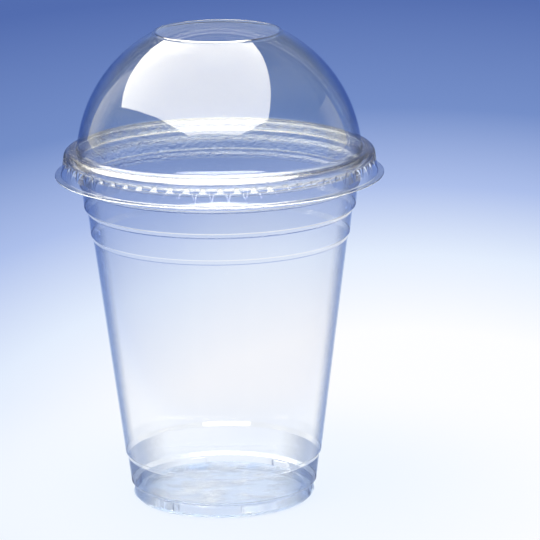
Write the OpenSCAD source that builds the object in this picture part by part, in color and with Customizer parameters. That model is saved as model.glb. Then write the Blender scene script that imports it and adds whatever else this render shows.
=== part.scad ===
// Clear plastic cup with a domed lid that clips over its rim.
// The cup stands on its foot ring with the origin at the middle of its base, +Z up.
// Both pieces are thin formed sheet: each is one profile of rounded corners, given a wall
// on its inner side and turned about the axis, with its lugs or flats pressed in afterwards.

/* [Cup] */
// Height of the cup to the top of its rolled rim
cup_h = 111.5; // [80:0.5:160]
// Outer radius of the rolled rim
rim_r = 47.5; // [43:0.1:52]
// Outer radius of the body just above the lower step
body_low_r = 31; // [26:0.1:36]
// Thickness of the cup's wall
cup_wall = 0.34; // [0.24:0.02:0.46]

/* [Rolled rim] */
// Height of the roll
roll_h = 3.4; // [2.9:0.1:3.9]
// Angle through which the edge is rolled
roll_turn = 295; // [200:5:300]
// Height of the shoulder below the top of the rim
shoulder_drop = 5.6; // [4.8:0.1:6.5]
// How far the neck lies inside the rim's outer side
neck_inset = 4.4; // [4:0.1:5]

/* [Neck and steps] */
// Height of the middle of the ring round the neck, below the top of the rim
ring_drop = 9.7; // [8.2:0.1:11.5]
// Width of the ring's flat
ring_flat = 0.8; // [0.6:0.1:1.2]
// How far the ring stands out of the neck
ring_out = 0.7; // [0.4:0.05:0.9]
// How much the collar narrows from the neck down to the upper step
collar_taper = 0.7; // [0.4:0.1:1]
// Height of the middle of the upper step, below the top of the rim
top_step_drop = 18.2; // [15.5:0.1:21]
// How far the upper step stands out
top_step_out = 1.1; // [0.7:0.1:1.4]
// How much the band narrows from the upper step down to the middle step
band_taper = 0.8; // [0.4:0.1:1.2]
// Height of the middle of the middle step, below the top of the rim
mid_step_drop = 26.8; // [23:0.1:32]
// How far the middle step stands out
mid_step_out = 0.7; // [0.4:0.1:1]
// Height of the middle of the lower step
low_step_z = 14; // [11:0.1:17]
// How far the lower step stands out
low_step_out = 0.7; // [0.4:0.1:1]
// Height over which each step widens
step_rise = 1.5; // [1.2:0.1:2]
// Radius of the steps' rounded corners
step_fillet = 0.8; // [0.6:0.1:1]

/* [Cup foot] */
// How much the wall narrows from the lower step down to the shelf
foot_taper = 1; // [0.6:0.1:1.3]
// How far the shelf stands out over the groove
shelf_out = 1.2; // [0.9:0.1:1.5]
// Height of the shelf above the groove
shelf_rise = 1; // [0.8:0.1:1.3]
// Height of the groove
groove_z = 4.1; // [3.6:0.1:4.8]
// How far the foot bulges out under the groove
bulge_out = 0.5; // [0.3:0.1:0.7]
// Height of the bulge
bulge_z = 1.2; // [1:0.1:1.5]
// How far the contact ring lies inside the bulge
contact_inset = 1.2; // [1:0.1:1.5]
// Width of the contact ring
contact_w = 1.6; // [1.3:0.1:2]
// Height of the floor's underside above the contact ring
floor_z = 2.8; // [2.2:0.1:3.6]
// Radius of the bend round the floor's edge
floor_fillet = 0.7; // [0.5:0.1:0.9]

/* [Foot flats] */
// Number of flats pressed into the foot's bulge
flat_count = 6; // [3:1:9]
// Width of each flat
flat_w = 6.4; // [5:0.1:8]
// Height of each flat, down from the groove
flat_h = 2.9; // [2.4:0.1:3.2]
// Depth of each flat, inside the groove
flat_depth = 0.35; // [0.25:0.05:0.5]
// Turn of the first flat from +X
flat_turn = 48.6; // [0:0.1:60]

/* [Dome] */
// Thickness of the lid's wall
lid_wall = 0.3; // [0.22:0.02:0.4]
// Depth of the dome's centre below the top of the cup's rim
dome_drop = 2.9; // [1:0.1:5]
// Radius of the round opening in the top
hole_r = 19.1; // [10:0.1:24]
// Width of the flat lip round the opening
lip_w = 1.1; // [0.9:0.1:1.6]
// How far the lip stands above the dome
lip_rise = 0.7; // [0.5:0.1:0.9]

/* [Lid rim] */
// Gap above the rolled rim when the lid is on
seat_gap = 0.3; // [0.1:0.05:0.5]
// Gap round the rolled rim when the lid is on
side_gap = 0.8; // [0.5:0.05:1]
// Width of the bead from its outer side in to the dome
bead_w = 4.2; // [3.9:0.1:4.6]
// Height of the bead
bead_h = 2.4; // [2.4:0.1:3]
// Radius of the bead's outer corner
bead_fillet = 2.2; // [1.6:0.1:2.3]
// Radius of the hollow corner between the bead and the dome
dome_fillet = 1.2; // [0.8:0.1:1.6]
// Height of the flange's bend below the top of the cup's rim
flange_depth = 7; // [6:0.1:8]
// How far the skirt flares out below the bead
skirt_flare = 0.75; // [0.5:0.05:1.2]
// Width of the flange from its bend to its edge
flange_w = 1.95; // [1:0.05:3]
// Drop of the flange from its bend to its edge
flange_drop = 0.15; // [0.05:0.05:0.4]

/* [Lid lugs] */
// Number of snap lugs pressed into the skirt
lug_count = 60; // [24:1:60]
// Width of a lug at its top
lug_top_w = 1.5; // [1.2:0.1:2.2]
// Width of a lug at its foot
lug_foot_w = 4.6; // [3:0.1:4.8]
// Height of the lugs' tops below the bead
lug_drop = 0.1; // [0.05:0.05:0.3]
// Height of the lugs' tips below their tops
lug_tip_drop = 0.3; // [0.15:0.05:0.6]
// Height of the lugs' knees, as a share of the way up from their feet to their tips
lug_knee_share = 0.55; // [0.3:0.05:0.7]
// Depth of the lugs at their knees
lug_knee = 0.1; // [0.05:0.05:0.3]
// Height of the lugs' feet above the flange's bend
lug_lift = 1.6; // [1.2:0.1:2]
// Running gap between the lugs' tips and the rolled rim
lug_gap = 0.08; // [0.05:0.01:0.14]

/* [Hidden] */
turn_fn = 120;
corner_steps = 4;
dome_steps = 22;
roll_steps = 16;

// How far the wall round the floor leans in for each millimetre of height
floor_lean = 1 / 3;

// Straight run left below the roll, and depth of the flats' tops below the groove
roll_run = 0.1;
flat_drop = 0.1;

// Angle at the dome's foot that the hollow corner takes up
dome_lead = 4;

// Shares of the lid's wall at which a lug's back starts and ends inside the skirt
back_in = 0.6;
back_out = 0.4;

// How far the hollows reach out past the surface that they are pressed into
reach = 1;

// Radii of corners that turn away from the sheet's inner side, and of those round it
tight = 0.3;
soft = max(cup_wall, lid_wall) + 0.15;

// The roll's section, the shoulder below it and the radius of the mouth inside it
roll_r = roll_h / 2;
roll_z = cup_h - roll_r;
mouth_r = rim_r - roll_h;
shoulder_z = cup_h - shoulder_drop;
shoulder_rise = 1;

// The neck's ring and the steps, each widening on the one below, from the rim down
neck_r = rim_r - neck_inset;
ring_z = cup_h - ring_drop;
top_step_z = cup_h - top_step_drop;
collar_low_r = neck_r - collar_taper;
band_high_r = collar_low_r - top_step_out;
band_low_r = band_high_r - band_taper;
mid_step_z = cup_h - mid_step_drop;
body_high_r = band_low_r - mid_step_out;

// The foot, from the lower step down
foot_top_r = body_low_r - low_step_out;
shelf_r = foot_top_r - foot_taper;
groove_r = shelf_r - shelf_out;
bulge_r = groove_r + bulge_out;
contact_r = bulge_r - contact_inset;
flat_r = groove_r - flat_depth;

// The lid's bead, skirt and dome, all placed from the rolled rim
bead_r = rim_r + side_gap + lid_wall;
bead_top = cup_h + seat_gap + lid_wall;
bead_foot = bead_top - bead_h;
bend_z = cup_h - flange_depth;
skirt_foot_r = bead_r + skirt_flare;
flange_r = skirt_foot_r + flange_w;
dome_z = cup_h - dome_drop;
dome_foot_r = bead_r - bead_w;
dome_a = atan2(bead_top - dome_z, dome_foot_r);
dome_r = dome_foot_r / cos(dome_a);
lip_r = hole_r + lip_w;
lip_a = acos(lip_r / dome_r);
lip_z = dome_z + dome_r * sin(lip_a) + lip_rise;

function unit(v) = v / norm(v);
function left_of(v) = [-v[1], v[0]];
function reversed(p) = [for (i = [len(p) - 1:-1:0]) p[i]];

// Points of an arc about c, from angle a to angle b
function arc(c, r, a, b, n) =
    [for (i = [0:n]) let (t = a + (b - a) * i / n) [c[0] + r * cos(t), c[1] + r * sin(t)]];

// Points that round the corner at q, between p and s, with radius r
function corner(p, q, s, r) =
    let (u = unit(p - q), v = unit(s - q), half = acos(u * v) / 2,
         c = q + unit(u + v) * r / sin(half),
         a = q + u * r / tan(half) - c, b = q + v * r / tan(half) - c,
         w = 180 - 2 * half, n = corner_steps)
    [for (i = [0:n]) c + (a * sin(w * (1 - i / n)) + b * sin(w * i / n)) / sin(w)];

// A path of corners [x, y, radius], each rounded or left sharp where its radius is 0
function rounded(p) =
    let (q = [for (c = p) [c[0], c[1]]])
    [for (i = [0:len(p) - 1])
        each p[i][2] == 0 ? [q[i]] : corner(q[i - 1], q[i], q[i + 1], p[i][2])];

// How far point i of a path moves when the path is offset to its left by one unit
function miter(p, i) =
    let (a = left_of(unit(i > 0 ? p[i] - p[i - 1] : p[1] - p[0])),
         b = left_of(unit(i < len(p) - 1 ? p[i + 1] - p[i] : p[i] - p[i - 1])))
    (a + b) / (1 + a * b);

// The closed outline of a sheet of thickness t on the left of a path
function sheet(p, t) =
    concat(p, reversed([for (i = [0:len(p) - 1]) p[i] + miter(p, i) * t]));

// The cup's outer side, from the middle of its floor to the end of the rolled edge
cup_path = concat(
    rounded([
        [0, floor_z, 0],
        [contact_r - contact_w - floor_z * floor_lean, floor_z, floor_fillet],
        [contact_r - contact_w, 0, soft],
        [contact_r, 0, soft],
        [bulge_r, bulge_z, soft],
        [groove_r, groove_z, tight],
        [shelf_r, groove_z + shelf_rise, soft],
        [foot_top_r, low_step_z - step_rise / 2, step_fillet],
        [body_low_r, low_step_z + step_rise / 2, step_fillet],
        [body_high_r, mid_step_z - step_rise / 2, step_fillet],
        [band_low_r, mid_step_z + step_rise / 2, step_fillet],
        [band_high_r, top_step_z - step_rise / 2, step_fillet],
        [collar_low_r, top_step_z + step_rise / 2, step_fillet],
        [neck_r, ring_z - ring_flat / 2 - ring_out, tight],
        [neck_r + ring_out, ring_z - ring_flat / 2, soft],
        [neck_r + ring_out, ring_z + ring_flat / 2, soft],
        [neck_r, ring_z + ring_flat / 2 + ring_out, tight],
        [neck_r, shoulder_z, tight],
        [mouth_r + cup_wall, shoulder_z + shoulder_rise, soft],
        [mouth_r + cup_wall, roll_z - roll_run, 0]
    ]),
    arc([rim_r - roll_r, roll_z], roll_r - cup_wall, 180, 180 - roll_turn, roll_steps)
);

// The lid's outer side, from the edge of the flange to the edge of the opening
lid_path = rounded(concat(
    [
        [flange_r, bend_z - flange_drop, 0],
        [skirt_foot_r, bend_z, tight],
        [bead_r, bead_foot, tight],
        [bead_r, bead_top, bead_fillet],
        [dome_foot_r, bead_top, dome_fillet]
    ],
    [for (p = arc([0, dome_z], dome_r, dome_a + dome_lead, lip_a, dome_steps)) [p[0], p[1], 0]],
    [[lip_r - lip_rise / 2, lip_z, soft], [hole_r, lip_z, 0]]
));

// The lugs' heights, and the radius of their tips on the inner side.
// Each lug deepens a little from its foot to its knee, and from there steeply to its tip.
lug_top = bead_foot - lug_drop;
lug_foot = bend_z + lug_lift;
lug_tip_z = lug_top - lug_tip_drop;
lug_knee_z = lug_foot + (lug_tip_z - lug_foot) * lug_knee_share;
lug_tip_r = rim_r + lug_gap;

// The skirt's outer radius at height z
function skirt_r(z) = bead_r + (skirt_foot_r - bead_r) * (bead_foot - z) / (bead_foot - bend_z);

// A pressed-in shape: the sheet keeps its thickness behind each child's hollow
module pressed(path, t) {
    difference() {
        union() {
            rotate_extrude($fn = turn_fn) polygon(sheet(path, t));
            children(0);
        }
        children(1);
    }
}

// The foot's flats, grown by g at the back and sides
module flats(g) {
    top = groove_z - flat_drop;
    for (i = [0:flat_count - 1])
        rotate([0, 0, flat_turn + i * 360 / flat_count])
        translate([flat_r - g, -flat_w / 2 - g, top - flat_h - g])
        cube([bulge_r + reach - flat_r + g, flat_w + 2 * g, flat_h + 2 * g]);
}

// The whole space inside the foot's outer side
module foot_space() {
    side = [for (p = cup_path) if (p[0] >= contact_r && p[1] < groove_z + shelf_rise) p];
    rotate_extrude($fn = turn_fn)
    polygon(concat([[0, side[0][1]]], side, [[0, side[len(side) - 1][1]]]));
}

module cup() {
    color([0.86, 0.9, 0.97, 0.35])
    pressed(cup_path, cup_wall) {
        intersection() {
            flats(cup_wall);
            foot_space();
        }
        flats(0);
    }
}

// The lugs' front view as a polygon across X, grown by g on every side
module lug_front(g) {
    polygon([
        [-lug_foot_w / 2 - g, lug_foot - g], [lug_foot_w / 2 + g, lug_foot - g],
        [lug_top_w / 2 + g, lug_top + g], [-lug_top_w / 2 - g, lug_top + g]
    ]);
}

// The lugs' side view, from the skirt in to the knee and tip, its back moved in by g.
// A hollow reaches out past the skirt, and a back ends inside the skirt's own thickness
// and stands g higher over the tip.
module lug_side(g) {
    inner = g > 0 ? -back_in * lid_wall : 0;
    outer = g > 0 ? -back_out * lid_wall : reach;
    low = lug_foot - g;
    high = lug_top + g;
    tip = [lug_tip_r + lid_wall - g, lug_tip_z];
    polygon([
        [skirt_r(low) + outer, low], [skirt_r(low) + inner, low],
        [skirt_r(lug_knee_z) - lug_knee - g, lug_knee_z],
        tip, each g > 0 ? [tip + [0, g]] : [],
        [skirt_r(high) + inner, high], [skirt_r(high) + outer, high]
    ]);
}

module lugs(g) {
    for (i = [0:lug_count - 1])
        rotate([0, 0, i * 360 / lug_count])
        intersection() {
            rotate([90, 0, 0]) linear_extrude(2 * lug_foot_w, center = true) lug_side(g);
            rotate([90, 0, 90]) linear_extrude(flange_r) lug_front(g);
        }
}

module dome_lid() {
    color([0.88, 0.92, 0.98, 0.35])
    pressed(lid_path, lid_wall) {
        lugs(lid_wall);
        lugs(0);
    }
}

cup();
dome_lid();
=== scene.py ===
"""Clear formed cup with a clear domed lid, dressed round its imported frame."""

import math

import bpy
import numpy as np
from bpy.props import FloatProperty, FloatVectorProperty, IntProperty, PointerProperty
from mathutils import Matrix, Vector


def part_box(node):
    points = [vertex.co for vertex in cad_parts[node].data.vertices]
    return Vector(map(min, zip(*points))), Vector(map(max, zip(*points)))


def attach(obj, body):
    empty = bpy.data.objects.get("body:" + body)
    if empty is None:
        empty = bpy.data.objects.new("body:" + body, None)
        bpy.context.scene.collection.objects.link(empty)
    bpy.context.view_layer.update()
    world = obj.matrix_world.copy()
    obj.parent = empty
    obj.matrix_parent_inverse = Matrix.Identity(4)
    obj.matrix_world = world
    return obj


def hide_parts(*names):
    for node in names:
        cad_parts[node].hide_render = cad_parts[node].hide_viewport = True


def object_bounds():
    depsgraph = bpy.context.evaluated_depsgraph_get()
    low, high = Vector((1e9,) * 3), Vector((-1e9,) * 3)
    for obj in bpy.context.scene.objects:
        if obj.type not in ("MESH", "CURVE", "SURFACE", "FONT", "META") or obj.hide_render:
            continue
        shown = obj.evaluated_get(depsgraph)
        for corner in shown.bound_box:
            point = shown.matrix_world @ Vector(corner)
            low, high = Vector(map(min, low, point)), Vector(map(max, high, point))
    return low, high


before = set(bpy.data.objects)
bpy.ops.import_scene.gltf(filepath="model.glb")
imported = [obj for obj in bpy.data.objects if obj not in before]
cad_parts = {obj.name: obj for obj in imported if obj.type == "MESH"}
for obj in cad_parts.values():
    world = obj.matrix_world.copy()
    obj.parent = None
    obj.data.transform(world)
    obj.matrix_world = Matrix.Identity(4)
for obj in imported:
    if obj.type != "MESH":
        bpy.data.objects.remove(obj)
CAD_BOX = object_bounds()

bl_info = {
    "name": "Clear cup with domed lid",
    "version": (1, 0, 0),
    "blender": (4, 5, 0),
    "location": "View3D > Sidebar > Clear cup",
    "description": "Builds a clear formed cup, its domed lid and a plain studio round them",
    "category": "Add Mesh",
}

MM = 0.001
CUP_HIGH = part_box("cup")[1]

# Radii of corners whose wall lies on the outer and on the inner side of the bend
TIGHT = 0.3 * MM
SOFT = 0.5 * MM

# Columns round the cup for each foot flat, and how many of them lie inside the flat
FLAT_COLUMNS = 48
FLAT_INSIDE = 16

# Steps round every rounded corner, along the dome and round the rolled edge
CORNER_STEPS = 5
DOME_STEPS = 26
ROLL_STEPS = 24

# Height of the rim's grain against the sheet's waves
GRAIN = 2.4

# Height up to which the plastic's colours are given
RAMP_TOP = 150 * MM

# How far a wall turns away, from 0 square on to 1 edge on, where it starts to darken and where it is
# darkest, in the cup and in its foot, and how dark it then is. The darkening is partly the sheet's
# own tint and partly painted shade in place of the dark edges that reflections give.
TURNED = (0.56, 0.82)
TURNED_FOOT = (0.16, 0.60)
DARKEST = 0.85

# What one level face of the cup's floor lets through, and one face of a shadow
FLOOR_TINT = (0.93, 0.96, 1.0)
SHADOW_TINT = (0.975, 0.985, 1.0)

# Distances from the object between which the painted blue shade on the floor at the foot fades out
UNDER_SHADE_FADE = (0.04, 0.14)

# Rises of a line of sight between which the backdrop darkens to the dim room
DIM = (0.12, 0.4)

# Side and back corners of the softbox, over the middle of the rim as the camera sees it
SOFTBOX_HEIGHT = 0.9
SOFTBOX = ((-0.07, -0.94), (1.34, 1.42), (1.2, 2.46), (1.03, 3.2), (-1.5, 3.2), (-1.56, 1.23),
           (-1.914, -0.27))

# Panels: name, place in X, the two places in Y between which they come up, end, height, share
PANELS = (("left_panel", -2.2, (0.6, 1.7), 2.2, 2.0, 0.8),
          ("right_panel", 2.2, (0.3, 1.0), 1.6, 1.05, 0.5))
PANEL_COLOUR = (1.0, 0.95, 0.82)

# Arched card in front: half width, place in Y, height, and height of its foot over the rim
ARCH = (0.33, -0.445, 26 * MM, -5.5 * MM)

# Radii of the floor's rings and how many sides they have
FLOOR_RINGS = (0.05, 0.15, 0.4, 1, 3, 12)
FLOOR_SIDES = 96

# The camera's place, its turns to the right, down and round its own axis, and its lens
EYE = (0, -1.1781, 0.3604)
YAW, PITCH, ROLL = math.radians(0.746), math.radians(13.73), math.radians(-0.672)
LENS = 257.77
SENSOR = 36


def length(name, value, description):
    """A length in metres, given here in millimetres."""
    return FloatProperty(name=name, description=description, default=value * MM, min=0.0,
                         precision=5, unit="LENGTH")


def colour(name, value, description):
    """A linear colour."""
    return FloatVectorProperty(name=name, description=description, default=value, size=3,
                               min=0.0, max=1.0, subtype="COLOR")


class CupSizes(bpy.types.PropertyGroup):
    """Sizes of the cup. Heights named drop are measured down from the top of the rim."""
    rim: length("Rim", 47.5, "Outer radius of the rolled rim")
    wall: length("Wall", 0.34, "Thickness of the formed sheet")
    roll: length("Roll", 3.4, "Height of the rolled rim")
    roll_turn: FloatProperty(name="Roll turn", description="Angle through which the edge is rolled",
                             default=math.radians(295), subtype="ANGLE")
    shoulder_drop: length("Shoulder drop", 5.6, "Height of the shoulder below the rim")
    neck_inset: length("Neck inset", 4.4, "How far the neck lies inside the rim's outer side")
    ring_drop: length("Ring drop", 9.7, "Height of the neck's ring below the rim")
    ring_flat: length("Ring flat", 0.8, "Width of the ring's flat")
    ring_out: length("Ring out", 0.7, "How far the ring stands out of the neck")
    collar_taper: length("Collar taper", 0.7, "How much the collar narrows downwards")
    top_drop: length("Upper step drop", 18.2, "Height of the upper step below the rim")
    top_out: length("Upper step out", 1.1, "How far the upper step stands out")
    band_taper: length("Band taper", 0.8, "How much the band between the steps narrows downwards")
    mid_drop: length("Middle step drop", 26.8, "Height of the middle step below the rim")
    mid_out: length("Middle step out", 0.7, "How far the middle step stands out")
    body_low: length("Body foot", 31, "Outer radius of the body above the lower step")
    low_rise: length("Lower step height", 14, "Height of the middle of the lower step")
    low_out: length("Lower step out", 0.7, "How far the lower step stands out")
    step_rise: length("Step rise", 1.5, "Height over which each step widens")
    step_fillet: length("Step fillet", 0.8, "Radius of the steps' rounded corners")
    foot_taper: length("Foot taper", 1, "How much the wall narrows down to the shelf")
    shelf_out: length("Shelf out", 1.2, "How far the shelf stands out over the groove")
    shelf_rise: length("Shelf rise", 1, "Height of the shelf above the groove")
    groove_rise: length("Groove height", 4.1, "Height of the groove")
    bulge_out: length("Bulge out", 0.5, "How far the foot bulges out under the groove")
    bulge_rise: length("Bulge height", 1.2, "Height of the bulge")
    contact_inset: length("Contact inset", 1.2, "How far the contact ring lies inside the bulge")
    contact_width: length("Contact width", 1.6, "Width of the contact ring")
    floor_rise: length("Floor height", 2.8, "Height of the floor's underside")
    flat_count: IntProperty(name="Flats", description="Number of flats in the foot",
                            default=6, min=3, max=9)
    flat_width: length("Flat width", 6.4, "Width of each flat")
    flat_height: length("Flat height", 2.9, "Height of each flat")
    flat_depth: length("Flat depth", 0.35, "Depth of each flat inside the groove")
    flat_turn: FloatProperty(name="Flat turn", description="Turn of the first flat",
                             default=math.radians(48.6), subtype="ANGLE")
    tint: colour("Tint", (0.995, 0.997, 1.0), "What one wall lets through, seen square on")
    collar_tint: colour("Collar tint", (0.86, 0.88, 0.92), "The same in the collar under the neck")
    # Colours seen edge on, in the walls, the foot and the rim: partly the sheet's own tint, thicker
    # at the rim, and partly painted shade for dark edge reflections
    edge_tint_and_shade: colour("Edge tint", (0.70, 0.76, 0.87), "What one face lets through, seen edge on")
    foot_tint_and_shade: colour("Foot edge tint", (0.60, 0.66, 0.78), "The same in the foot")
    rim_tint_and_shade: colour("Rim tint", (0.62, 0.61, 0.60), "The same at the rim, where it is thickest")


class LidSizes(bpy.types.PropertyGroup):
    """Sizes of the lid, which sits on the cup's rim."""
    wall: length("Wall", 0.3, "Thickness of the formed sheet")
    dome_drop: length("Dome drop", 2.9, "Depth of the dome's centre below the top of the rim")
    hole: length("Opening", 19.1, "Radius of the round opening")
    lip_width: length("Lip width", 1.1, "Width of the flat lip round the opening")
    lip_rise: length("Lip rise", 0.7, "How far the lip stands above the dome")
    seat_gap: length("Seat gap", 0.3, "Gap above the rolled rim")
    side_gap: length("Side gap", 0.8, "Gap round the rolled rim")
    bead_width: length("Bead width", 4.2, "Width of the bead from its outer side to the dome")
    bead_height: length("Bead height", 2.4, "Height of the bead")
    bead_fillet: length("Bead fillet", 2.2, "Radius of the bead's outer corner")
    dome_fillet: length("Dome fillet", 1.2, "Radius of the hollow corner between bead and dome")
    flange_depth: length("Flange depth", 7, "Height of the flange's bend below the rim")
    skirt_flare: length("Skirt flare", 0.75, "How far the skirt flares out below the bead")
    flange_width: length("Flange width", 1.95, "Width of the flange")
    flange_drop: length("Flange drop", 0.15, "Drop of the flange to its edge")
    lug_count: IntProperty(name="Lugs", description="Number of snap lugs",
                           default=60, min=24, max=60)
    lug_top: length("Lug top width", 1.5, "Width of a lug at its top")
    lug_foot: length("Lug foot width", 4.6, "Width of a lug at its foot")
    lug_drop: length("Lug drop", 0.1, "Height of the lugs' tops below the bead")
    lug_tip_drop: length("Lug tip drop", 0.3, "Height of the lugs' tips below their tops")
    lug_knee_share: FloatProperty(name="Lug knee share", default=0.55, min=0.1, max=0.9,
                                  description="Height of the lugs' knees, from feet to tips")
    lug_knee: length("Lug knee depth", 0.1, "Depth of the lugs at their knees")
    lug_lift: length("Lug lift", 1.6, "Height of the lugs' feet above the flange's bend")
    lug_gap: length("Lug gap", 0.08, "Gap between the lugs' tips and the rolled rim")
    tint: colour("Tint", (0.93, 0.94, 0.945), "What one wall lets through, seen square on")
    dome_tint: colour("Dome tint", (0.855, 0.885, 0.895), "The same in the dome")
    # Colours seen edge on, in the walls and the rim: partly the sheet's own tint, thicker at the
    # rim, and partly painted shade for dark edge reflections
    edge_tint_and_shade: colour("Edge tint", (0.70, 0.76, 0.87), "What one face lets through, seen edge on")
    rim_tint_and_shade: colour("Rim tint", (0.62, 0.61, 0.60), "The same at the rim, where it is thickest")


class StageLook(bpy.types.PropertyGroup):
    """Colours and light of the plain studio."""
    # Painted blue shade on the floor under the object
    foot: colour("Floor at the foot", (0.89, 0.935, 1.0), "Colour of the floor under the object")
    near: colour("Near floor", (0.97, 0.975, 1.0), "Colour of the floor round the object")
    pale: colour("Pale floor", (0.76, 0.84, 0.975), "Colour of the floor where it starts to deepen")
    middle: colour("Middle floor", (0.41, 0.515, 0.82), "Colour of the floor half-way out")
    deep: colour("Deep floor", (0.175, 0.27, 0.575), "Colour of the floor further out")
    far: colour("Far floor", (0.085, 0.15, 0.42), "Colour of the floor far out and the backdrop")
    above: colour("Above", (0.012, 0.014, 0.02), "Colour of the dim room over the backdrop")
    warm: colour("Softbox colour", (1.0, 0.93, 0.76), "Colour of the softbox in reflections")
    ambient: FloatProperty(name="Ambient", description="Light from all round",
                           default=0.82, min=0.0)
    key: FloatProperty(name="Key light", description="Strength of the soft light from above",
                       default=0.7, min=0.0)
    softbox: FloatProperty(name="Softbox", description="Brightness of the softbox in reflections",
                           default=6.4, min=0.0)
    panels: FloatProperty(name="Panels", description="Brightness of the side panels in reflections",
                          default=1.2, min=0.0)


def unit(v):
    """Vectors divided by their own lengths."""
    return v / np.linalg.norm(v, axis=-1, keepdims=True)


def left_of(v):
    """Plane vectors turned a quarter turn to the left: (x, y) becomes (-y, x)."""
    return np.stack([-v[..., 1], v[..., 0]], axis=-1)


def rounded(corners):
    """Profile of straight runs joined by arcs, and its unit normals on the right.

    A corner is (x, y, radius). Its arc starts radius * tan(half the turn) before the corner,
    its centre lies one radius to the side that the profile turns to, and the direction turns
    evenly from the run before to the run after.
    """
    corners = np.asarray(corners, float)
    place, radius = corners[:, :2], corners[1:-1, 2:]
    before = unit(place[1:-1] - place[:-2])
    after = unit(place[2:] - place[1:-1])
    turn = np.arctan2(np.sum(left_of(before) * after, -1), np.sum(before * after, -1))
    side = np.sign(turn)[:, None]
    centre = (place[1:-1] - before * radius * np.tan(np.abs(turn) / 2)[:, None]
              + left_of(before) * side * radius)
    angle = turn[:, None] * np.linspace(0, 1, CORNER_STEPS + 1)
    heading = (before[:, None] * np.cos(angle)[..., None]
               + left_of(before)[:, None] * np.sin(angle)[..., None])
    points = centre[:, None] - left_of(heading) * (side * radius)[:, None]
    normals = -left_of(heading)
    points = np.concatenate([place[:1], points.reshape(-1, 2), place[-1:]])
    normals = np.concatenate([normals[0, :1], normals.reshape(-1, 2), normals[-1, -1:]])
    return points, normals


def arc(centre, radius, start, end, steps):
    """Profile along an arc: its angle goes evenly from start to end, its normals from the centre."""
    angle = np.linspace(start, end, steps + 1)
    normals = np.stack([np.cos(angle), np.sin(angle)], -1)
    return np.asarray(centre) + radius * normals, normals


def joined(*profiles):
    """Profiles laid end to end."""
    return [np.concatenate(part) for part in zip(*profiles)]


def with_rows(profile, run, heights):
    """Profile with extra points at these heights on one straight run, after point number run."""
    points, normals = profile
    a, b = points[run], points[run + 1]
    share = (np.asarray(heights) - a[1]) / (b[1] - a[1])
    extra = a + (b - a) * share[:, None]
    return (np.insert(points, run + 1, extra, axis=0),
            np.insert(normals, run + 1, np.repeat(normals[run][None], len(extra), 0), axis=0))


def rounded_edge(point, normal, wall, steps=4):
    """Half round from a sheet's outer side over its edge to its inner side.

    The centre lies half a wall inside the last point, and the normal turns half a turn to the
    left of itself, evenly.
    """
    angle = np.linspace(0, np.pi, steps + 1)[1:-1, None]
    normals = normal * np.cos(angle) + left_of(normal) * np.sin(angle)
    return point + (normals - normal) * wall / 2, normals


def sheet_section(profile, wall, open_start):
    """Closed section of a sheet: outer side, rounded edge, inner side and rounded edge.

    The inner side is the outer one moved against its normals by the wall. Returns points,
    normals and each point's height on the outer side, so that both sides can move together.
    """
    points, normals = profile
    inner = points - normals * wall
    high_edge = rounded_edge(points[-1], normals[-1], wall)
    parts = [(points, normals, points[:, 1]),
             (*high_edge, np.repeat(points[-1:, 1], len(high_edge[0]))),
             (inner[::-1], -normals[::-1], points[::-1, 1])]
    if open_start:
        low_edge = rounded_edge(inner[0], -normals[0], wall)
        parts.append((*low_edge, np.repeat(points[:1, 1], len(low_edge[0]))))
    return joined(*parts)


def smooth_step(x, low, high):
    """0 below low and 1 above high, with 3t^2 - 2t^3 between."""
    t = np.clip((x - low) / (high - low), 0, 1)
    return t * t * (3 - 2 * t)


def turned_mesh(name, section, angles, dent, closed):
    """Surface of revolution: each section point (r, z) is carried round to (r cos a, r sin a, z).

    angles has a row for each section point. dent is how far each point moves in towards the
    axis. Normals are the section's own where the surface isn't dented, and elsewhere the cross
    product of the steps to the neighbouring columns and rows. A section that isn't closed
    starts and ends on the axis, where one point closes the fan of triangles.
    """
    points, normals, _ = section
    r = points[:, :1] - dent
    grid = np.stack([r * np.cos(angles), r * np.sin(angles), points[:, 1:] + 0 * angles], -1)
    own = np.stack([normals[:, :1] * np.cos(angles), normals[:, :1] * np.sin(angles),
                    normals[:, 1:] + 0 * angles], -1)
    along = np.roll(grid, -1, 1) - np.roll(grid, 1, 1)
    up = np.roll(grid, -1, 0) - np.roll(grid, 1, 0)
    if not closed:
        up[0], up[-1] = grid[1] - grid[0], grid[-1] - grid[-2]
    moved = dent > 1e-9
    for axis in (0, 1):
        moved = moved | np.roll(moved, 1, axis) | np.roll(moved, -1, axis)
    worked = np.cross(along, up)
    size = np.linalg.norm(worked, axis=-1, keepdims=True)
    worked = worked / np.maximum(size, 1e-15)
    facing = np.where(moved[..., None] & (size > 1e-14), worked, own)
    rows, columns = angles.shape
    keep = slice(0, rows) if closed else slice(1, rows - 1)
    vertices, facing = grid[keep].reshape(-1, 3), facing[keep].reshape(-1, 3)
    count = rows if closed else rows - 2
    i = np.arange(count if closed else count - 1)[:, None]
    j = np.arange(columns)[None]
    here, there = i * columns, (i + 1) % count * columns
    right = (j + 1) % columns
    quads = np.stack([here + j, here + right, there + right, there + j], -1).reshape(-1, 4)
    faces = quads.tolist()
    if not closed:
        low, high = count * columns, count * columns + 1
        vertices = np.concatenate([vertices, grid[:1, 0], grid[-1:, 0]])
        facing = np.concatenate([facing, own[:1, 0], own[-1:, 0]])
        last = (count - 1) * columns
        j, right = j[0], right[0]
        faces += np.stack([right, j, np.full(columns, low)], -1).tolist()
        faces += np.stack([last + j, last + right, np.full(columns, high)], -1).tolist()
    mesh = bpy.data.meshes.new(name)
    mesh.from_pydata(vertices.tolist(), [], faces)
    mesh.shade_smooth()
    mesh.normals_split_custom_set_from_vertices(facing.tolist())
    piece = bpy.data.objects.new(name, mesh)
    bpy.context.scene.collection.objects.link(piece)
    return piece


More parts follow.
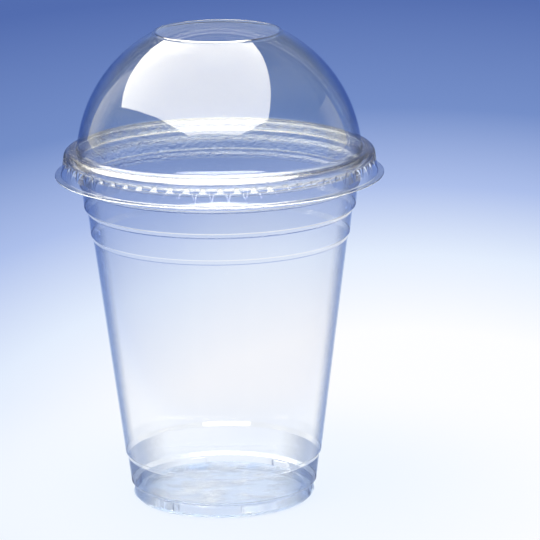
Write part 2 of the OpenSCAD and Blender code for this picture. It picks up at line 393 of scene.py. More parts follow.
def cup_profile(s):
    """The cup's outer side, from the middle of its floor up to the end of the rolled edge."""
    top = CUP_HIGH.z
    neck = s.rim - s.neck_inset
    collar = neck - s.collar_taper
    band_high = collar - s.top_out
    band_low = band_high - s.band_taper
    body_high = band_low - s.mid_out
    foot_top = s.body_low - s.low_out
    shelf = foot_top - s.foot_taper
    groove = shelf - s.shelf_out
    bulge = groove + s.bulge_out
    contact = bulge - s.contact_inset
    inside = contact - s.contact_width
    mouth = s.rim - s.roll + s.wall
    half, ring, flat = s.step_rise / 2, top - s.ring_drop, s.ring_flat / 2
    upper, middle = top - s.top_drop, top - s.mid_drop
    shoulder = top - s.shoulder_drop
    roll_middle = top - s.roll / 2
    run = rounded([
        (0, s.floor_rise, 0),
        (inside - s.floor_rise / 3, s.floor_rise, 0.7 * MM),
        (inside, 0, SOFT),
        (contact, 0, SOFT),
        (bulge, s.bulge_rise, SOFT),
        (groove, s.groove_rise, TIGHT),
        (shelf, s.groove_rise + s.shelf_rise, SOFT),
        (foot_top, s.low_rise - half, s.step_fillet),
        (s.body_low, s.low_rise + half, s.step_fillet),
        (body_high, middle - half, s.step_fillet),
        (band_low, middle + half, s.step_fillet),
        (band_high, upper - half, s.step_fillet),
        (collar, upper + half, s.step_fillet),
        (neck, ring - flat - s.ring_out, TIGHT),
        (neck + s.ring_out, ring - flat, SOFT),
        (neck + s.ring_out, ring + flat, SOFT),
        (neck, ring + flat + s.ring_out, TIGHT),
        (neck, shoulder, TIGHT),
        (mouth, shoulder + 1 * MM, SOFT),
        (mouth, roll_middle - 0.1 * MM, 0),
    ])
    points, normals = arc((s.rim - s.roll / 2, roll_middle), s.roll / 2 - s.wall,
                          math.pi, math.pi - s.roll_turn, ROLL_STEPS)
    flat_rows = s.groove_rise - 0.1 * MM - s.flat_height * np.array([0.6, 0.4, 0.2, 0.1])
    first = 1 + 4 * (CORNER_STEPS + 1) - 1
    return joined(with_rows(run, first, flat_rows), (points, -normals))


def lid_profile(s, cup):
    """The lid's outer side, from the edge of the flange up to the edge of the opening."""
    top = CUP_HIGH.z
    bead = cup.rim + s.side_gap + s.wall
    bead_top = top + s.seat_gap + s.wall
    bead_foot = bead_top - s.bead_height
    bend = top - s.flange_depth
    skirt = bead + s.skirt_flare
    centre = top - s.dome_drop
    dome_foot = bead - s.bead_width
    foot_angle = math.atan2(bead_top - centre, dome_foot)
    dome = dome_foot / math.cos(foot_angle)
    lip = s.hole + s.lip_width
    lip_angle = math.acos(lip / dome)
    low, high = foot_angle + math.radians(4), lip_angle - math.radians(1.5)
    shell = arc((0, centre), dome, low, high, DOME_STEPS)
    edge = np.array([skirt + s.flange_width, bend - s.flange_drop])
    inward = unit(np.array([skirt, bend]) - edge) * s.wall / 2
    skirt_run = rounded([
        (*(edge + inward), 0),
        (skirt, bend, TIGHT),
        (bead, bead_foot, TIGHT),
        (bead, bead_top, s.bead_fillet),
        (dome_foot, bead_top, s.dome_fillet),
        (*shell[0][0], 0),
    ])
    lip_top = centre + dome * math.sin(lip_angle) + s.lip_rise
    lip_run = rounded([
        (*shell[0][-1], 0),
        (lip, centre + dome * math.sin(lip_angle), TIGHT),
        (lip - s.lip_rise / 2, lip_top, SOFT),
        (s.hole + s.wall / 2, lip_top, 0),
    ])
    lug_top, lug_foot = bead_foot - s.lug_drop, bend + s.lug_lift
    tip = lug_top - s.lug_tip_drop
    knee = lug_foot + (tip - lug_foot) * s.lug_knee_share
    soft = 0.06 * MM
    rows = np.concatenate([[lug_foot - 2 * soft, lug_foot + soft],
                           np.linspace(lug_foot, knee, 3)[1:2], [knee - soft, knee + soft],
                           np.linspace(knee, tip, 4)[1:3], [tip - soft, tip + soft / 2, lug_top]])
    skirt_run = with_rows(skirt_run, CORNER_STEPS + 1, rows)
    return joined([part[:-1] for part in skirt_run], shell, [part[1:] for part in lip_run])


def lug_dents(s, cup, heights):
    """Column angles and inward moves of the snap lugs.

    Each lug is a trapezoid in front view. In side view its depth goes evenly from nothing at its
    foot to a little at its knee, from there to the full depth at its tip, and back to nothing at
    its top. Columns stand close on either side of the lug's slanted edges, over which the depth
    falls to nothing.
    """
    top = CUP_HIGH.z
    bead = cup.rim + s.side_gap + s.wall
    bead_foot = top + s.seat_gap + s.wall - s.bead_height
    bend = top - s.flange_depth
    lug_top, lug_foot = bead_foot - s.lug_drop, bend + s.lug_lift
    tip = lug_top - s.lug_tip_drop
    z = heights[:, None]
    share = np.clip((lug_top - z) / (lug_top - lug_foot), 0, 1)
    half = (s.lug_top + (s.lug_foot - s.lug_top) * share) / 2
    soft = 0.13 * MM
    pitch = 2 * math.pi / s.lug_count
    middle = bead + s.skirt_flare * 0.6
    end = np.full_like(half, pitch * middle / 2)
    across = np.concatenate([
        -(end + half + soft) / 2, -(half + soft), -(half - soft), -half / 2, 0 * half,
        half / 2, half - soft, half + soft, (end + half + soft) / 2, end], 1)
    turn = np.arange(s.lug_count)[None, :, None] * pitch
    angles = (across[:, None] / middle + turn).reshape(len(heights), -1)
    skirt_at_tip = bead + s.skirt_flare * (bead_foot - tip) / (bead_foot - bend)
    depth = skirt_at_tip - (cup.rim + s.lug_gap + s.wall)
    knee = lug_foot + (tip - lug_foot) * s.lug_knee_share
    wedge = np.interp(heights, [lug_foot, knee, tip, lug_top], [0, s.lug_knee, depth, 0])[:, None]
    inside = (np.abs(across) <= half).astype(float)
    dent = np.tile(wedge * inside, (1, s.lug_count))
    return angles, dent


def flat_dents(s, section):
    """Column angles and inward moves of the foot's flats.

    A flat is the plane at a set distance from the axis, so at the angle a from its middle it
    lies at that distance / cos(a). A point outside it moves in to it, between the flat's two
    sides and between its top and foot. Points further in than the foot's wall stay.
    """
    points, _, heights = section
    foot_top = s.body_low - s.low_out
    groove = foot_top - s.foot_taper - s.shelf_out
    plane = groove - s.flat_depth
    half = math.asin(s.flat_width / 2 / plane)
    soft = 0.12 * MM / plane
    pitch = 2 * math.pi / s.flat_count
    side = (FLAT_COLUMNS - FLAT_INSIDE - 2) // 2
    marks = np.cumsum([0, side, 1, FLAT_INSIDE, 1, side])
    stations = [-pitch / 2, -half - soft, -half + soft, half - soft, half + soft, pitch / 2]
    step = np.interp(np.arange(marks[-1]), marks, stations)
    turn = s.flat_turn + np.arange(s.flat_count)[:, None] * pitch
    angles = np.repeat((turn + step).reshape(1, -1), len(points), 0)
    across = np.tile(step, s.flat_count)[None]
    top = s.groove_rise - 0.1 * MM
    z = heights[:, None]
    low = smooth_step(z, top - s.flat_height - 0.15 * MM, top - s.flat_height + 0.15 * MM)
    high = 1 - smooth_step(z, top - 0.25 * MM, top)
    outer = np.interp(heights, *outer_radius(section))[:, None]
    depth = np.maximum(outer - plane / np.cos(across), 0)
    inside = (np.abs(across) <= half).astype(float)
    near_foot = (points[:, :1] > 0.9 * plane).astype(float)
    return angles, depth * low * high * inside * near_foot


def outer_radius(section):
    """Heights and radii of the outer side's foot, from the contact ring up."""
    points = section[0]
    foot = np.arange(len(points))
    low = int(np.argmin(np.where(foot < len(points) // 2, points[:, 1] - points[:, 0], 1)))
    rising = points[low:low + 40]
    return rising[:, 1], rising[:, 0]


def new_group(name, sockets_in, sockets_out):
    """An empty shader node group with these sockets, given as (name, type, default)."""
    tree = bpy.data.node_groups.new(name, "ShaderNodeTree")
    for label, kind, value in sockets_in:
        socket = tree.interface.new_socket(label, in_out="INPUT", socket_type=kind)
        if value is not None:
            socket.default_value = value
    for label, kind in sockets_out:
        tree.interface.new_socket(label, in_out="OUTPUT", socket_type=kind)
    return tree, tree.nodes.new("NodeGroupInput"), tree.nodes.new("NodeGroupOutput")


def add(tree, kind, inputs=None, **settings):
    """A node with its settings, and its inputs set to a value or linked to a socket."""
    node = tree.nodes.new(kind)
    for key, value in settings.items():
        setattr(node, key, value)
    for key, value in (inputs or {}).items():
        if isinstance(value, bpy.types.NodeSocket):
            tree.links.new(value, node.inputs[key])
        else:
            node.inputs[key].default_value = value
    return node


def formed_sheet_group():
    """Height and sheen of a sheet drawn over a mould.

    Height is slow waves all over plus finer ripples drawn out along Z, where the sheet was
    pulled. Sheen is a cloudy mask from 0 to 1 for roughness.
    """
    tree, start, end = new_group(
        "formed_sheet",
        [("Vector", "NodeSocketVector", None), ("Wave", "NodeSocketFloat", 1.0),
         ("Ripple", "NodeSocketFloat", 1.0)],
        [("Height", "NodeSocketFloat"), ("Cloud", "NodeSocketFloat")])
    slow = add(tree, "ShaderNodeTexNoise",
               {"Vector": start.outputs["Vector"], "Scale": 55.0, "Detail": 2.0, "Roughness": 0.4})
    pulled = add(tree, "ShaderNodeMapping",
                 {"Vector": start.outputs["Vector"], "Scale": (1.0, 1.0, 0.12)})
    fine = add(tree, "ShaderNodeTexNoise",
               {"Vector": pulled.outputs[0], "Scale": 420.0, "Detail": 3.0, "Roughness": 0.5})
    waves = add(tree, "ShaderNodeMath", {0: slow.outputs[0], 1: start.outputs["Wave"]},
                operation="MULTIPLY")
    ripples = add(tree, "ShaderNodeMath", {0: fine.outputs[0], 1: start.outputs["Ripple"]},
                  operation="MULTIPLY")
    height = add(tree, "ShaderNodeMath", {0: waves.outputs[0], 1: ripples.outputs[0]},
                 operation="ADD")
    cloud = add(tree, "ShaderNodeTexNoise",
                {"Vector": start.outputs["Vector"], "Scale": 130.0, "Detail": 4.0})
    tree.links.new(height.outputs[0], end.inputs["Height"])
    tree.links.new(cloud.outputs[0], end.inputs["Cloud"])
    return tree


def rub_marks_group():
    """Mask of faint hairline rubs: thin level lines of a stretched, turned noise."""
    tree, start, end = new_group(
        "rub_marks",
        [("Vector", "NodeSocketVector", None), ("Turn", "NodeSocketFloat", 0.4),
         ("Width", "NodeSocketFloat", 0.006)],
        [("Mask", "NodeSocketFloat")])
    rotation = add(tree, "ShaderNodeCombineXYZ", {"X": start.outputs["Turn"], "Y": 0.6})
    mapped = add(tree, "ShaderNodeMapping",
                 {"Vector": start.outputs["Vector"], "Rotation": rotation.outputs[0],
                  "Scale": (9.0, 1.0, 6.0)})
    noise = add(tree, "ShaderNodeTexNoise",
                {"Vector": mapped.outputs[0], "Scale": 34.0, "Detail": 1.0})
    away = add(tree, "ShaderNodeMath", {0: noise.outputs[0], 1: 0.5}, operation="SUBTRACT")
    apart = add(tree, "ShaderNodeMath", {0: away.outputs[0]}, operation="ABSOLUTE")
    line = add(tree, "ShaderNodeMath", {0: apart.outputs[0], 1: start.outputs["Width"]},
               operation="LESS_THAN")
    patches = add(tree, "ShaderNodeTexNoise",
                  {"Vector": start.outputs["Vector"], "Scale": 90.0, "Detail": 2.0})
    some = add(tree, "ShaderNodeMath", {0: patches.outputs[0], 1: 0.6}, operation="GREATER_THAN")
    mask = add(tree, "ShaderNodeMath", {0: line.outputs[0], 1: some.outputs[0]},
               operation="MULTIPLY")
    tree.links.new(mask.outputs[0], end.inputs["Mask"])
    return tree


def mould_grain_group():
    """Fine grain that the mould leaves on the inner side round the rim.

    Grain is a fine noise between the heights Low and High, on faces whose normal points away
    from the outward direction, which rises by Lean.
    """
    tree, start, end = new_group(
        "mould_grain",
        [("Vector", "NodeSocketVector", None), ("Normal", "NodeSocketVector", None),
         ("Low", "NodeSocketFloat", 0.1), ("High", "NodeSocketFloat", 0.11),
         ("Lean", "NodeSocketFloat", 0.0)],
        [("Grain", "NodeSocketFloat")])
    place = add(tree, "ShaderNodeSeparateXYZ", {0: start.outputs["Vector"]})
    over = add(tree, "ShaderNodeMath", {0: place.outputs["Z"], 1: start.outputs["Low"]},
               operation="GREATER_THAN")
    under = add(tree, "ShaderNodeMath", {0: place.outputs["Z"], 1: start.outputs["High"]},
                operation="LESS_THAN")
    zone = add(tree, "ShaderNodeMath", {0: over.outputs[0], 1: under.outputs[0]},
               operation="MULTIPLY")
    outward = add(tree, "ShaderNodeCombineXYZ", {"X": place.outputs["X"], "Y": place.outputs["Y"],
                                                 "Z": start.outputs["Lean"]})
    outward = add(tree, "ShaderNodeVectorMath", {0: outward.outputs[0]}, operation="NORMALIZE")
    facing = add(tree, "ShaderNodeVectorMath", {0: outward.outputs[0], 1: start.outputs["Normal"]},
                 operation="DOT_PRODUCT")
    inner = add(tree, "ShaderNodeMapRange",
                {"Value": facing.outputs["Value"], "From Min": -0.05, "From Max": -0.3,
                 "To Min": 0.0, "To Max": 1.0}, interpolation_type="SMOOTHSTEP")
    noise = add(tree, "ShaderNodeTexNoise",
                {"Vector": start.outputs["Vector"], "Scale": 1100.0, "Detail": 2.0})
    grain = add(tree, "ShaderNodeMath", {0: noise.outputs[0], 1: inner.outputs[0]},
                operation="MULTIPLY")
    grain = add(tree, "ShaderNodeMath", {0: grain.outputs[0], 1: zone.outputs[0]},
                operation="MULTIPLY")
    tree.links.new(grain.outputs[0], end.inputs["Grain"])
    return tree


def colour_by_height(tree, z, stops):
    """Socket of a colour that changes along the height z; stops are (height, colour)."""
    share = add(tree, "ShaderNodeMapRange",
                {"Value": z, "From Min": 0.0, "From Max": RAMP_TOP, "To Min": 0.0, "To Max": 1.0})
    ramp = add(tree, "ShaderNodeValToRGB", {0: share.outputs[0]})
    marks = ramp.color_ramp.elements
    marks[0].position, marks[0].color = stops[0][0] / RAMP_TOP, (*stops[0][1], 1)
    marks[1].position, marks[1].color = stops[-1][0] / RAMP_TOP, (*stops[-1][1], 1)
    for height, value in stops[1:-1]:
        marks.new(height / RAMP_TOP).color = (*value, 1)
    return ramp.outputs[0]


def clear_plastic(name, tints, edge_tint_and_shade_stops, wave, ripple, steep, flat, rim, lean, low=(0, 0)):
    """Clear glossy formed sheet: glass-like, and bluer and darker where a wall is seen edge on,
    partly by its own tint and partly by painted shade in place of dark edge reflections.

    tints are the (height, colour) stops of what the sheet lets through square on, and the edge-on
    stops give its colour seen edge on, partly the sheet's own tint and partly painted shade. wave
    and ripple are the depths of the sheet's unevenness. Walls darken at their edges with partly
    painted shade, and level faces don't: steep and flat are the rises of the normal up to which a
    face is a full wall and from which it is level. rim is the two heights between which the sheet is
    grainy, and lean belongs to that grain. low is two heights: under the first the level floor is
    patchy and shines less, and under the second, that of the foot, walls darken further in.
    """
    material = bpy.data.materials.new(name)
    material.use_nodes = True
    tree = material.node_tree
    tree.nodes.clear()
    place = add(tree, "ShaderNodeTexCoord")
    sheet = add(tree, "ShaderNodeGroup",
                {"Vector": place.outputs["Object"], "Wave": wave, "Ripple": ripple},
                node_tree=bpy.data.node_groups["formed_sheet"])
    rubs = add(tree, "ShaderNodeGroup", {"Vector": place.outputs["Object"]},
               node_tree=bpy.data.node_groups["rub_marks"])
    turned = add(tree, "ShaderNodeSeparateXYZ", {0: place.outputs["Normal"]})
    rise = add(tree, "ShaderNodeMath", {0: turned.outputs["Z"]}, operation="ABSOLUTE")
    grain = add(tree, "ShaderNodeGroup",
                {"Vector": place.outputs["Object"], "Normal": place.outputs["Normal"],
                 "Low": rim[0], "High": rim[1], "Lean": lean},
                node_tree=bpy.data.node_groups["mould_grain"])
    wall = add(tree, "ShaderNodeMapRange",
               {"Value": rise.outputs[0], "From Min": steep, "From Max": flat,
                "To Min": 1.0, "To Max": 0.0}, interpolation_type="SMOOTHSTEP")
    facing = add(tree, "ShaderNodeLayerWeight", {"Blend": 0.5})
    height = add(tree, "ShaderNodeSeparateXYZ", {0: place.outputs["Object"]}).outputs["Z"]
    foot = add(tree, "ShaderNodeMath", {0: height, 1: low[1]}, operation="LESS_THAN")
    start, full = [
        add(tree, "ShaderNodeMath", {0: foot.outputs[0], 1: low_turn - turn, 2: turn},
            operation="MULTIPLY_ADD") for turn, low_turn in zip(TURNED, TURNED_FOOT)]
    # Painted shade: walls seen edge on fade to the edge-on colour, which is partly the sheet's own
    # tint
    edge = add(tree, "ShaderNodeMapRange",
               {"Value": facing.outputs["Facing"], "From Min": start.outputs[0],
                "From Max": full.outputs[0], "To Min": 0.0, "To Max": DARKEST},
               interpolation_type="SMOOTHSTEP")
    edge_tint_and_shade_share = add(tree, "ShaderNodeMath", {0: edge.outputs[0], 1: wall.outputs[0]},
                operation="MULTIPLY")
    gloss = add(tree, "ShaderNodeMapRange",
                {"Value": sheet.outputs["Cloud"], "From Min": 0.3, "From Max": 0.7,
                 "To Min": 0.012, "To Max": 0.04})
    rough = add(tree, "ShaderNodeMath", {0: rubs.outputs["Mask"], 1: 0.12,
                                         2: gloss.outputs[0]}, operation="MULTIPLY_ADD")
    relief = add(tree, "ShaderNodeMath", {0: grain.outputs["Grain"], 1: GRAIN,
                                          2: sheet.outputs["Height"]}, operation="MULTIPLY_ADD")
    bump = add(tree, "ShaderNodeBump",
               {"Height": relief.outputs[0], "Strength": 1.0, "Distance": 0.0001})
    glass = add(tree, "ShaderNodeBsdfPrincipled",
                {"Base Color": colour_by_height(tree, height, tints), "Roughness": rough.outputs[0],
                 "IOR": 1.57, "Transmission Weight": 1.0, "Normal": bump.outputs[0]})
    # Edge-on colour, partly the sheet's own tint and partly painted shade
    deep = add(tree, "ShaderNodeBsdfTransparent",
               {"Color": colour_by_height(tree, height, edge_tint_and_shade_stops)})
    sided = add(tree, "ShaderNodeMixShader", {0: edge_tint_and_shade_share.outputs[0], 1: glass.outputs[0],
                                              2: deep.outputs[0]})
    patchy = add(tree, "ShaderNodeMapRange",
                 {"Value": sheet.outputs["Cloud"], "From Min": 0.4, "From Max": 0.6,
                  "To Min": 0.4, "To Max": 0.9})
    under = add(tree, "ShaderNodeMath", {0: height, 1: low[0]}, operation="LESS_THAN")
    level = add(tree, "ShaderNodeMath", {0: 1.0, 1: wall.outputs[0]}, operation="SUBTRACT")
    floor = add(tree, "ShaderNodeMath", {0: level.outputs[0], 1: under.outputs[0]},
                operation="MULTIPLY")
    faint = add(tree, "ShaderNodeMath", {0: floor.outputs[0], 1: patchy.outputs[0]},
                operation="MULTIPLY")
    thin = add(tree, "ShaderNodeBsdfTransparent", {"Color": (*FLOOR_TINT, 1)})
    clear = add(tree, "ShaderNodeMixShader", {0: faint.outputs[0], 1: sided.outputs[0],
                                              2: thin.outputs[0]})
    passing = add(tree, "ShaderNodeBsdfTransparent", {"Color": (*SHADOW_TINT, 1)})
    path = add(tree, "ShaderNodeLightPath")
    lets_by = add(tree, "ShaderNodeMath",
                  {0: path.outputs["Is Shadow Ray"], 1: path.outputs["Is Diffuse Ray"]},
                  operation="MAXIMUM")
    mix = add(tree, "ShaderNodeMixShader", {0: lets_by.outputs[0], 1: clear.outputs[0],
                                            2: passing.outputs[0]})
    out = add(tree, "ShaderNodeOutputMaterial")
    tree.links.new(mix.outputs[0], out.inputs["Surface"])
    return material


def floor_material(look):
    """Matt floor whose colour goes from near to far with the distance from a long painted pool of
    light, and has a painted blue shade under the object."""
    material = bpy.data.materials.new("floor_paper")
    material.use_nodes = True
    tree = material.node_tree
    tree.nodes.clear()
    place = add(tree, "ShaderNodeTexCoord")
    pool = add(tree, "ShaderNodeMapping",
               {"Vector": place.outputs["Object"], "Location": (-0.13, 0, 0), "Scale": (2, 1, 1)})
    distance = add(tree, "ShaderNodeVectorMath", {0: pool.outputs[0]}, operation="LENGTH")
    ramp = add(tree, "ShaderNodeValToRGB")
    tree.links.new(distance.outputs["Value"], ramp.inputs[0])
    stops = ramp.color_ramp.elements
    stops[0].position, stops[0].color = 0.2, (*look.near, 1)
    stops[1].position, stops[1].color = 0.95, (*look.far, 1)
    for distance_out, value in ((0.32, look.pale), (0.45, look.middle), (0.62, look.deep)):
        stops.new(distance_out).color = (*value, 1)
    away = add(tree, "ShaderNodeVectorMath", {0: place.outputs["Object"]}, operation="LENGTH")
    clear = add(tree, "ShaderNodeMapRange",
                {"Value": away.outputs["Value"], "From Min": UNDER_SHADE_FADE[0],
                 "From Max": UNDER_SHADE_FADE[1], "To Min": 0.0, "To Max": 1.0},
                interpolation_type="SMOOTHSTEP")
    # Painted blue shade under the object, fading out with the distance from it
    painted_floor_colour = add(tree, "ShaderNodeMixRGB", {0: clear.outputs[0], 1: (*look.foot, 1),
                                            2: ramp.outputs[0]})
    paper = add(tree, "ShaderNodeBsdfPrincipled",
                {"Base Color": painted_floor_colour.outputs[0], "Roughness": 1.0, "Specular IOR Level": 0.0})
    out = add(tree, "ShaderNodeOutputMaterial")
    tree.links.new(paper.outputs[0], out.inputs["Surface"])
    return material


def glow_material(name, value, strength, fade=None, through=99):
    """Glow that shows in reflections alone, seen through no more faces than through, and comes
    up between the two Y values of fade."""
    material = bpy.data.materials.new(name)
    material.use_nodes = True
    material.cycles.emission_sampling = "NONE"
    tree = material.node_tree
    tree.nodes.clear()
    glow = add(tree, "ShaderNodeEmission", {"Color": (*value, 1), "Strength": strength})
    if fade:
        place = add(tree, "ShaderNodeTexCoord")
        along = add(tree, "ShaderNodeSeparateXYZ", {0: place.outputs["Object"]})
        rise = add(tree, "ShaderNodeMapRange",
                   {"Value": along.outputs["Y"], "From Min": fade[0], "From Max": fade[1],
                    "To Min": 0.0, "To Max": strength}, interpolation_type="SMOOTHSTEP")
        tree.links.new(rise.outputs[0], glow.inputs["Strength"])
    clear = add(tree, "ShaderNodeBsdfTransparent")
    path = add(tree, "ShaderNodeLightPath")
    mirrored = add(tree, "ShaderNodeMath", {0: path.outputs["Glossy Depth"], 1: 0.5},
                   operation="GREATER_THAN")
    near = add(tree, "ShaderNodeMath", {0: path.outputs["Transmission Depth"], 1: through + 0.5},
               operation="LESS_THAN")
    shown = add(tree, "ShaderNodeMath", {0: mirrored.outputs[0], 1: near.outputs[0]},
                operation="MULTIPLY")
    mix = add(tree, "ShaderNodeMixShader", {0: shown.outputs[0], 1: clear.outputs[0],
                                            2: glow.outputs[0]})
    out = add(tree, "ShaderNodeOutputMaterial")
    tree.links.new(mix.outputs[0], out.inputs["Surface"])
    return material


def world_light(look):
    """World: even white light for matt surfaces, and for what is seen the backdrop's colour,
    which darkens to a dim room well above the horizon."""
    world = bpy.data.worlds.new("studio")
    world.use_nodes = True
    tree = world.node_tree
    tree.nodes.clear()
    path = add(tree, "ShaderNodeLightPath")
    seen = add(tree, "ShaderNodeMath", {0: path.outputs["Is Camera Ray"],
                                        1: path.outputs["Is Glossy Ray"]}, operation="ADD")
    seen = add(tree, "ShaderNodeMath", {0: seen.outputs[0], 1: path.outputs["Is Transmission Ray"]},
               operation="ADD", use_clamp=True)
    light = add(tree, "ShaderNodeBackground", {"Color": (1, 1, 1, 1), "Strength": look.ambient})
    place = add(tree, "ShaderNodeTexCoord")
    heading = add(tree, "ShaderNodeSeparateXYZ", {0: place.outputs["Generated"]})
    rise = add(tree, "ShaderNodeMapRange",
               {"Value": heading.outputs["Z"], "From Min": DIM[0], "From Max": DIM[1],
                "To Min": 0.0, "To Max": 1.0}, interpolation_type="SMOOTHSTEP")
    shade = add(tree, "ShaderNodeMixRGB", {0: rise.outputs[0], 1: (*look.far, 1),
                                           2: (*look.above, 1)})
    backdrop = add(tree, "ShaderNodeBackground", {"Color": shade.outputs[0], "Strength": 1.0})
    mix = add(tree, "ShaderNodeMixShader", {0: seen.outputs[0], 1: light.outputs[0],
                                            2: backdrop.outputs[0]})
    out = add(tree, "ShaderNodeOutputWorld")
    tree.links.new(mix.outputs[0], out.inputs["Surface"])
    bpy.context.scene.world = world


def finish_piece(piece, material, node, body):
    """Gives a piece its material and its place in the frame, if it lies in the part's box."""
    low, high = CAD_BOX
    corners = [piece.matrix_world @ Vector(corner) for corner in piece.bound_box]
    if any(corner[i] < low[i] - MM or corner[i] > high[i] + MM for corner in corners
           for i in range(3)):
        raise RuntimeError(piece.name + " is larger than the part's box")
    piece.data.materials.append(material)
    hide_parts(node)
    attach(piece, body)


class CLEARCUP_OT_finishes(bpy.types.Operator):
    """Build the node groups that both pieces' plastic uses"""
    bl_idname = "clearcup.finishes"
    bl_label = "Finishes"

    def execute(self, context):
        formed_sheet_group()
        rub_marks_group()
        mould_grain_group()
        return {"FINISHED"}


class CLEARCUP_OT_cup(bpy.types.Operator):
    """Build the cup"""
    bl_idname = "clearcup.cup"
    bl_label = "Cup"

    def execute(self, context):
        sizes = context.scene.clearcup_cup
        section = sheet_section(cup_profile(sizes), sizes.wall, open_start=False)
        angles, dent = flat_dents(sizes, section)
        cup = turned_mesh("cup_shell", section, angles, dent, closed=False)
        top = CUP_HIGH.z
        step, ring = top - sizes.top_drop, top - sizes.ring_drop
        tints = ((0, sizes.tint), (step, sizes.tint), (step + 1 * MM, sizes.collar_tint),
                 (ring - 1 * MM, sizes.collar_tint), (ring, sizes.tint))
        foot_top = sizes.low_rise - sizes.step_rise / 2
        # Edge-on colours, partly the sheet's tint and partly painted shade, darker in the foot and
        # grey at the rim
        edge_tint_and_shade_stops = ((0, sizes.foot_tint_and_shade), (foot_top, sizes.foot_tint_and_shade),
                      (foot_top + 1 * MM, sizes.edge_tint_and_shade), (ring - 1 * MM, sizes.edge_tint_and_shade),
                      (ring, sizes.rim_tint_and_shade))
        material = clear_plastic("cup_plastic", tints, edge_tint_and_shade_stops, 0.25, 0.03, steep=0.15,
                                 flat=0.4, rim=(ring - 2 * MM, top + 1 * MM), lean=0.0,
                                 low=(sizes.floor_rise + 0.5 * MM, foot_top))
        finish_piece(cup, material, "cup", "cup")
        return {"FINISHED"}


class CLEARCUP_OT_lid(bpy.types.Operator):
    """Build the domed lid"""
    bl_idname = "clearcup.lid"
    bl_label = "Domed lid"

    def execute(self, context):
        sizes = context.scene.clearcup_lid
        cup = context.scene.clearcup_cup
        section = sheet_section(lid_profile(sizes, cup), sizes.wall, open_start=True)
        angles, dent = lug_dents(sizes, cup, section[2])
        lid = turned_mesh("lid_shell", section, angles, dent, closed=True)
        top = CUP_HIGH.z
        low, high = top - 3 * MM, top + 1 * MM
        tints = ((0, sizes.tint), (high, sizes.tint), (high + 6 * MM, sizes.dome_tint),
                 (RAMP_TOP, sizes.dome_tint))
        # Edge-on colours, partly the sheet's tint and partly painted shade, grey at the rim
        edge_tint_and_shade_stops = ((0, sizes.edge_tint_and_shade), (low, sizes.edge_tint_and_shade),
                      (low + 0.5 * MM, sizes.rim_tint_and_shade), (high, sizes.rim_tint_and_shade),
                      (high + 0.5 * MM, sizes.edge_tint_and_shade))
        material = clear_plastic("lid_plastic", tints, edge_tint_and_shade_stops, 0.2, 0.02, steep=0.6,
                                 flat=0.95, rim=(low, high), lean=0.03)
        finish_piece(lid, material, "dome_lid", "lid")
        return {"FINISHED"}


def camera_axes():
    """Right, up and back of the camera: pitched down, with a small yaw and roll."""
    forward = Vector((math.sin(YAW) * math.cos(PITCH), math.cos(YAW) * math.cos(PITCH),
                      -math.sin(PITCH)))
    right = Vector((math.cos(YAW), -math.sin(YAW), 0))
    up = right.cross(forward)
    return (math.cos(ROLL) * right + math.sin(ROLL) * up,
            -math.sin(ROLL) * right + math.cos(ROLL) * up, -forward)


def flat_floor(look):
    """Round floor of rings (r cos a, r sin a), just under the object."""
    radius = np.array(FLOOR_RINGS)[:, None]
    angle = np.linspace(0, 2 * math.pi, FLOOR_SIDES, endpoint=False)[None]
    ring = np.stack([radius * np.cos(angle), radius * np.sin(angle),
                     0 * radius * angle - 0.1 * MM], -1).reshape(-1, 3)
    i = np.arange(len(FLOOR_RINGS) - 1)[:, None] * FLOOR_SIDES
    j = np.arange(FLOOR_SIDES)[None]
    right = (j + 1) % FLOOR_SIDES
    outer = i + FLOOR_SIDES
    faces = np.stack([i + j, outer + j, outer + right, i + right], -1).reshape(-1, 4).tolist()
    mesh = bpy.data.meshes.new("floor")
    mesh.from_pydata(ring.tolist(), [], faces + [list(range(FLOOR_SIDES))])
    floor = bpy.data.objects.new("floor", mesh)
    floor.data.materials.append(floor_material(look))
    bpy.context.scene.collection.objects.link(floor)


def glow_card(name, corners, glow):
    """Flat card with these corners, which shows in gloss alone."""
    mesh = bpy.data.meshes.new(name)
    mesh.from_pydata([tuple(corner) for corner in corners], [], [list(range(len(corners)))])
    card = bpy.data.objects.new(name, mesh)
    card.data.materials.append(glow)
    card.visible_camera = card.visible_diffuse = False
    card.visible_shadow = card.visible_volume_scatter = False
    bpy.context.scene.collection.objects.link(card)


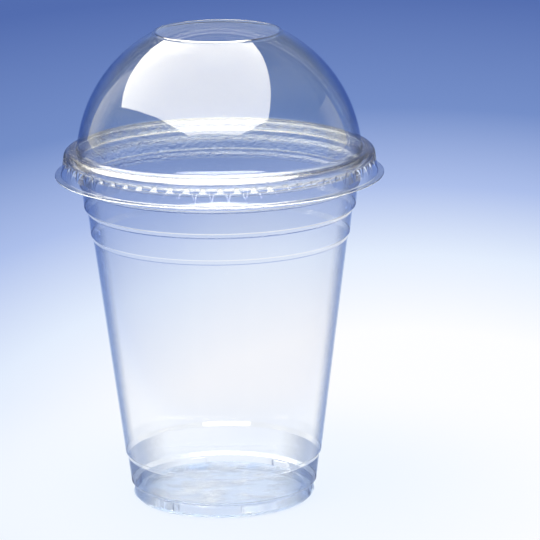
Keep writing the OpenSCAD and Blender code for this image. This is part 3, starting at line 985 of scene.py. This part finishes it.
class CLEARCUP_OT_stage(bpy.types.Operator):
    """Build the floor, the lights and the camera"""
    bl_idname = "clearcup.stage"
    bl_label = "Stage"

    def execute(self, context):
        look = context.scene.clearcup_stage
        scene = context.scene
        flat_floor(look)
        world_light(look)

        right, up, back = camera_axes()
        middle = Vector((0, 0, CUP_HIGH.z))
        corners = [middle + SOFTBOX_HEIGHT * (x * right + up + z * back) for x, z in SOFTBOX]
        glow_card("softbox", corners, glow_material("softbox_glow", look.warm, look.softbox))
        for name, side, fade, end, top, share in PANELS:
            corners = [(side, y, z) for y, z in ((fade[0], 0), (end, 0), (end, top), (fade[0], top))]
            glow = glow_material(name + "_glow", PANEL_COLOUR, look.panels * share, fade)
            glow_card(name, corners, glow)
        half_width, front, rise, foot = ARCH
        arch = [(math.cos(a), math.sin(a)) for a in np.linspace(0, math.pi, 13)]
        corners = [(half_width * x, front, CUP_HIGH.z + rise * y + foot) for x, y in arch]
        glow_card("low_card", corners,
                  glow_material("low_glow", (1, 1, 1), look.softbox, through=2))

        key = bpy.data.lights.new("key", "SUN")
        key.energy = look.key
        key.angle = math.radians(25)
        lamp = bpy.data.objects.new("key", key)
        lamp.rotation_euler = (math.radians(22), math.radians(-14), 0)
        lamp.visible_glossy = False
        lamp.visible_transmission = False
        scene.collection.objects.link(lamp)

        data = bpy.data.cameras.new("camera")
        data.sensor_width = SENSOR
        data.lens = LENS
        data.clip_start = 0.01
        data.clip_end = 100
        camera = bpy.data.objects.new("camera", data)
        turn = Matrix((right, up, back)).transposed().to_4x4()
        camera.matrix_world = Matrix.Translation(EYE) @ turn
        scene.collection.objects.link(camera)
        scene.camera = camera

        scene.view_settings.view_transform = "Standard"
        scene.cycles.max_bounces = 32
        scene.cycles.transmission_bounces = 32
        scene.cycles.glossy_bounces = 12
        scene.cycles.transparent_max_bounces = 32
        return {"FINISHED"}


class CLEARCUP_PT_panel(bpy.types.Panel):
    """Lists the steps that build the cup"""
    bl_idname = "CLEARCUP_PT_panel"
    bl_label = "Clear cup"
    bl_space_type = "VIEW_3D"
    bl_region_type = "UI"
    bl_category = "Clear cup"

    def draw(self, context):
        for step in STEPS:
            self.layout.operator(step.bl_idname)


STEPS = (CLEARCUP_OT_finishes, CLEARCUP_OT_cup, CLEARCUP_OT_lid, CLEARCUP_OT_stage)
CLASSES = (CupSizes, LidSizes, StageLook, *STEPS, CLEARCUP_PT_panel)


def register():
    """Registers the classes and hangs the sizes and colours on the scene."""
    for cls in CLASSES:
        bpy.utils.register_class(cls)
    bpy.types.Scene.clearcup_cup = PointerProperty(type=CupSizes)
    bpy.types.Scene.clearcup_lid = PointerProperty(type=LidSizes)
    bpy.types.Scene.clearcup_stage = PointerProperty(type=StageLook)


def unregister():
    """Takes off what register put on."""
    del bpy.types.Scene.clearcup_cup
    del bpy.types.Scene.clearcup_lid
    del bpy.types.Scene.clearcup_stage
    for cls in reversed(CLASSES):
        bpy.utils.unregister_class(cls)


def main():
    register()
    bpy.ops.clearcup.finishes()
    bpy.ops.clearcup.cup()
    bpy.ops.clearcup.lid()
    bpy.ops.clearcup.stage()


if __name__ == "__main__":
    main()
